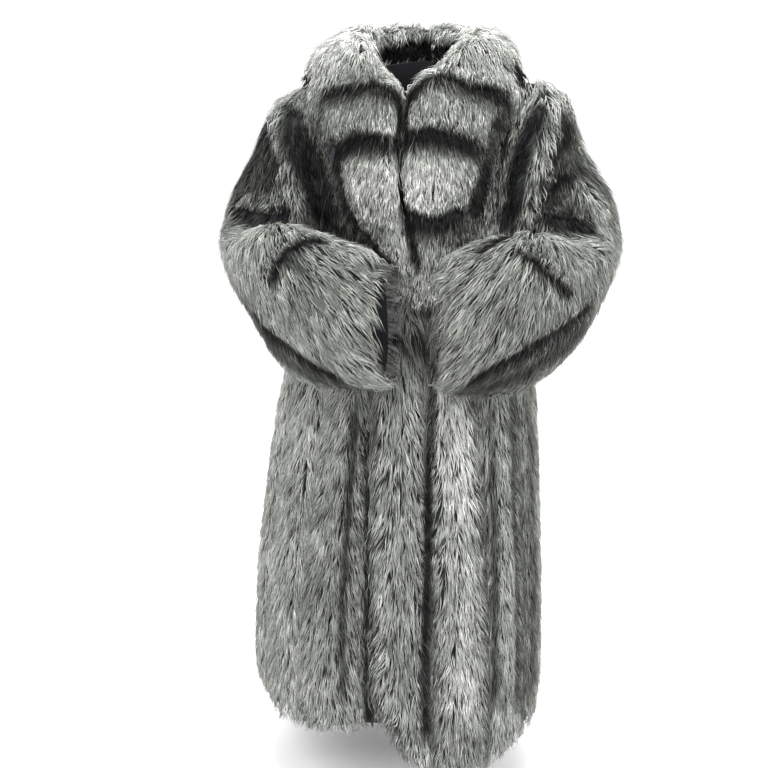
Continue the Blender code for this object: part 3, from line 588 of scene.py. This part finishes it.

# The sleeves: wide tubes bent at the elbow; on each the hair runs down from the shoulder, and below
# the bend it spreads from the crook of the elbow to the cuff.
# Painted shade darkens the folds across the bend, where the dark roots also show, the arms'
# undersides and the armpits; dark stripes down the shoulders are partly the strips' dark hair and
# partly painted shade by the collar's edge, and light lines are painted highlights. The fronts of the
# upper arms are darker than the forearms, which is painted shade too.
SLEEVE_LINES = {
    "sleeve_left": (
        # folds across the bend: painted shade, where the dark roots also show
        (12 * MM, 0.95, ((0.150, -0.305, -0.265), (0.185, -0.275, -0.250), (0.220, -0.190, -0.250),
                         (0.255, -0.100, -0.250), (0.300, -0.095, -0.260), (0.340, -0.100, -0.270))),
        (11 * MM, 0.90, ((0.225, -0.305, -0.270), (0.245, -0.300, -0.285), (0.265, -0.295, -0.305),
                         (0.290, -0.280, -0.330), (0.315, -0.245, -0.365))),
        # painted shade along the arm's underside: a wide soft band and a darker line
        (34 * MM, 0.50, ((0.140, -0.310, -0.540), (0.200, -0.305, -0.515), (0.280, -0.260, -0.475),
                         (0.345, -0.180, -0.435))),
        (14 * MM, 0.85, ((0.145, -0.335, -0.515), (0.170, -0.340, -0.490), (0.200, -0.330, -0.475),
                         (0.240, -0.310, -0.455), (0.280, -0.280, -0.435), (0.325, -0.230, -0.415),
                         (0.355, -0.175, -0.400))),
        (14 * MM, 0.80, ((0.305, -0.020, -0.080), (0.270, -0.085, -0.135), (0.240, -0.110, -0.165))),
        (14 * MM, 0.60, ((0.320, -0.030, -0.160), (0.280, -0.095, -0.185), (0.265, -0.100, -0.215))),
        # painted highlights on the shoulder's top and above the elbow fold
        (22 * MM, -0.70, ((0.275, -0.040, -0.050), (0.300, -0.010, -0.060))),
        (30 * MM, -0.75, ((0.320, -0.060, -0.205), (0.370, -0.060, -0.225))),
        # painted shade in the armpit
        (22 * MM, 0.90, ((0.220, -0.085, -0.095), (0.210, -0.095, -0.125), (0.200, -0.120, -0.210))),
    ),
    "sleeve_right": (
        # folds across the bend: painted shade, where the dark roots also show
        (12 * MM, 0.95, ((-0.350, -0.090, -0.260), (-0.330, -0.095, -0.260), (-0.300, -0.095, -0.265),
                         (-0.260, -0.105, -0.265), (-0.230, -0.090, -0.270))),
        (13 * MM, 0.95, ((-0.125, -0.295, -0.260), (-0.155, -0.305, -0.265), (-0.180, -0.315, -0.280),
                         (-0.205, -0.320, -0.310), (-0.220, -0.320, -0.350))),
        # painted shade along the arm's underside: a wide soft band and a darker line
        (32 * MM, 0.45, ((-0.320, -0.180, -0.420), (-0.260, -0.225, -0.470), (-0.160, -0.295, -0.525),
                         (-0.070, -0.300, -0.545))),
        (16 * MM, 0.85, ((-0.270, -0.240, -0.435), (-0.255, -0.245, -0.455), (-0.210, -0.285, -0.470),
                         (-0.160, -0.315, -0.490), (-0.100, -0.330, -0.515))),
        (16 * MM, 0.50, ((-0.190, -0.320, -0.290), (-0.155, -0.340, -0.305))),
        # painted shade in the armpit
        (26 * MM, 0.85, ((-0.225, -0.080, -0.100), (-0.200, -0.105, -0.160), (-0.180, -0.125, -0.220))),
        # a painted highlight above the elbow fold
        (20 * MM, -0.80, ((-0.330, -0.080, -0.235), (-0.270, -0.100, -0.235), (-0.245, -0.090, -0.210))),
    ),
}
# Painted shade on the fronts of the upper arms: how much light it takes away on each.
UPPER_ARM_SHADING = {"sleeve_left": 0.36, "sleeve_right": 0.54}
UPPER_FROM = (-0.27, -0.22)   # the upper arm lies above the one height, and behind the other place in y
UPPER_FADE = 0.04
BACK_FROM = 0.05              # its darkness fades towards the back, to none here
BACK_FADE = 0.08
BEND_TOP = -0.21              # below this the hair turns to its way along the forearm
BEND_DEEP = 0.06
OUTER_FROM = 0.20             # the outer side of the arm, where forearm hair hangs more
OUTER_WIDE = 0.10
HANG = (0.1, 0.7)             # how much forearm hair hangs, and how much more on the outer side
SLEEVE_CONTRAST = 0.5
SLEEVE_LOCKS = 3000
LONG_OVERHANG = 26 * MM
for node, sign, seed in (("sleeve_left", 1, 31), ("sleeve_right", -1, 32)):
    crook = Vector((sign * 0.235, -0.18, -0.24))
    cap = Vector((sign * 0.20, 0.02, 0.02))

    def sleeve_flow(spot):
        """Away from the shoulder's cap on the upper arm, and from the elbow's crook below it."""
        below = min(max((BEND_TOP - spot.z) / BEND_DEEP, 0), 1)
        outer = min(max((abs(spot.x) - OUTER_FROM) / OUTER_WIDE, 0), 1)
        spread = (spot - crook).normalized() + Vector((0, 0, -HANG[0] - HANG[1] * outer))
        return (spot - cap).normalized() * (1 - below) + spread.normalized() * below

    def upper_arm_shade(spots):
        """Share of its light that the upper arm keeps under its painted shade."""
        low, front = UPPER_FROM
        upper = np.clip((spots[:, 2] - low) / UPPER_FADE, 0, 1)
        upper = upper * np.clip((spots[:, 1] - front) / UPPER_FADE, 0, 1)
        return 1 - UPPER_ARM_SHADING[node] * upper * np.clip((BACK_FROM - spots[:, 1]) / BACK_FADE, 0, 1)

    piece, wall = leather_side(node, (sign * 0.30, -0.03, -0.30), (sign * 0.40, -0.03, -0.30))
    field = measure(piece, wall, sleeve_flow, SLEEVE_CONTRAST)
    hair = lay_hair(piece, field, SLEEVE_LOCKS, PER_LOCK, sleeve_flow, seed, SLEEVE_LINES[node],
                    upper_arm_shade, light=0.62, overhang=LONG_OVERHANG)
    grow_underfur(piece, field[2])
    finish_pelt(node, piece, share_out(node, hair))

# The collar halves: bands worked round the neck; the hair of each band ends above the next groove,
# where the dark roots of the next band show; the dark along each groove and below it is partly these
# roots and partly painted shade under the band above. A line of painted shade also runs down where
# the halves meet.
GROOVES = {
    "collar_left": (
        (14 * MM, 0.97, ((-0.005, -0.145, -0.020), (0.030, -0.130, 0.000), (0.075, -0.130, 0.005),
                         (0.130, -0.125, -0.010), (0.180, -0.090, -0.035))),
        (16 * MM, 0.98, ((0.000, -0.160, -0.105), (0.035, -0.160, -0.095), (0.080, -0.155, -0.100),
                         (0.130, -0.145, -0.115))),
        (14 * MM, 0.95, ((0.010, -0.190, -0.240), (0.040, -0.190, -0.250), (0.070, -0.190, -0.250),
                         (0.100, -0.180, -0.235))),
    ),
    "collar_right": (
        (14 * MM, 0.97, ((-0.020, -0.145, -0.020), (-0.075, -0.140, -0.010), (-0.125, -0.125, -0.015),
                         (-0.170, -0.110, -0.025))),
        (17 * MM, 0.98, ((-0.010, -0.155, -0.120), (-0.055, -0.160, -0.110), (-0.095, -0.150, -0.110),
                         (-0.140, -0.140, -0.130))),
        (14 * MM, 0.92, ((-0.020, -0.205, -0.335), (-0.050, -0.200, -0.310), (-0.080, -0.190, -0.280))),
    ),
}
# Painted shade in the gap where the collar halves meet.
MEETING_SHADE = (11 * MM, 0.85, ((-0.005, -0.140, -0.020), (-0.005, -0.160, -0.110), (0.000, -0.170, -0.210),
                           (0.015, -0.200, -0.275), (0.030, -0.210, -0.330)))
# Painted shade along each half's outer edge and beside it; wide soft lines across the upper bands darken
# them.
BAND_SHADES = {
    "collar_left": (
        (26 * MM, 0.16, ((0.020, -0.150, -0.050), (0.120, -0.140, -0.055))),
        (34 * MM, 0.45, ((0.190, -0.085, -0.070), (0.185, -0.110, -0.120), (0.170, -0.130, -0.180),
                         (0.145, -0.155, -0.240), (0.115, -0.180, -0.290))),
        (18 * MM, 0.75, ((0.170, -0.110, -0.080), (0.160, -0.130, -0.130), (0.145, -0.150, -0.180),
                         (0.130, -0.170, -0.225))),
    ),
    "collar_right": (
        (34 * MM, 0.32, ((-0.030, -0.130, 0.030), (-0.120, -0.120, 0.020))),
        (34 * MM, 0.50, ((-0.180, -0.095, -0.080), (-0.170, -0.120, -0.130), (-0.150, -0.145, -0.190),
                         (-0.120, -0.165, -0.250), (-0.085, -0.185, -0.300))),
        (13 * MM, 0.75, ((-0.150, -0.130, -0.120), (-0.135, -0.150, -0.160), (-0.120, -0.170, -0.210),
                         (-0.095, -0.180, -0.260))),
        (30 * MM, 0.18, ((-0.030, -0.150, -0.065), (-0.140, -0.130, -0.070))),
    ),
}


# A line below each groove, partly the next band's dark roots and partly painted shade under the band above.
ROOT_HALF = 20 * MM
ROOTS_AND_SHADE_DARK = 0.5
ROOT_BEFORE = 4 * MM      # how far before and below its groove a shade lies
ROOT_BELOW = 16 * MM


def roots_and_shade(groove):
    """Dark below a groove: the roots of the next band, which show there, with painted shade under the band
    above.
    """
    points = tuple((x, y - ROOT_BEFORE, z - ROOT_BELOW) for x, y, z in groove[2])
    return ROOT_HALF, ROOTS_AND_SHADE_DARK, points


CHEST_FROM = -0.05        # in front of this the collar lies on the chest
CHEST_CONTRAST = 0.3      # and the depth of its wall shades the hair only this much
STAND_TO = -0.03          # down to here the bands run round the neck, and below across the chest
BAND_SLOPE = 0.25
NECK_Y = 0.02             # the middle of the neck
LEAN = (0.6, 0.8)         # how much the hair leans away in x and y, in a metre
LEAN_BACK = 0.05
COLLAR_LOCKS = 2200
COLLAR_PER_LOCK = 7
COLLAR_LENGTH = 50 * MM


for node, sign, seed in (("collar_left", 1, 41), ("collar_right", -1, 42)):

    def collar_flow(spot):
        """Down and away from the neck."""
        away = Vector((LEAN[0] * spot.x, LEAN[1] * spot.y + LEAN_BACK, 0))
        return Vector((0, 0, -1)) + away

    def round_neck(spot):
        """The way in which a band runs."""
        if spot.z < STAND_TO:
            return Vector((1, 0, sign * BAND_SLOPE))
        return Vector((spot.y - NECK_Y, -spot.x, 0))

    piece, wall = leather_side(node, (sign * 0.10, 0.0, -0.22), (sign * 0.11, -1.0, -0.18))
    place, out, depth, silver = measure(piece, wall, round_neck)
    silver = 1 - (1 - silver) * np.where(place[:, 1] < CHEST_FROM, CHEST_CONTRAST, 1)
    field = place, out, depth, silver
    lines = (*GROOVES[node], *map(roots_and_shade, GROOVES[node]), *BAND_SHADES[node], MEETING_SHADE)
    hair = lay_hair(piece, field, COLLAR_LOCKS, COLLAR_PER_LOCK, collar_flow, seed, lines,
                    length=COLLAR_LENGTH, fan=0.4, light=0.82, hang=0.3, groove=(0.20, 0.65),
                    overhang=LONG_OVERHANG)
    grow_underfur(piece, field[2])
    finish_pelt(node, piece, share_out(node, hair))
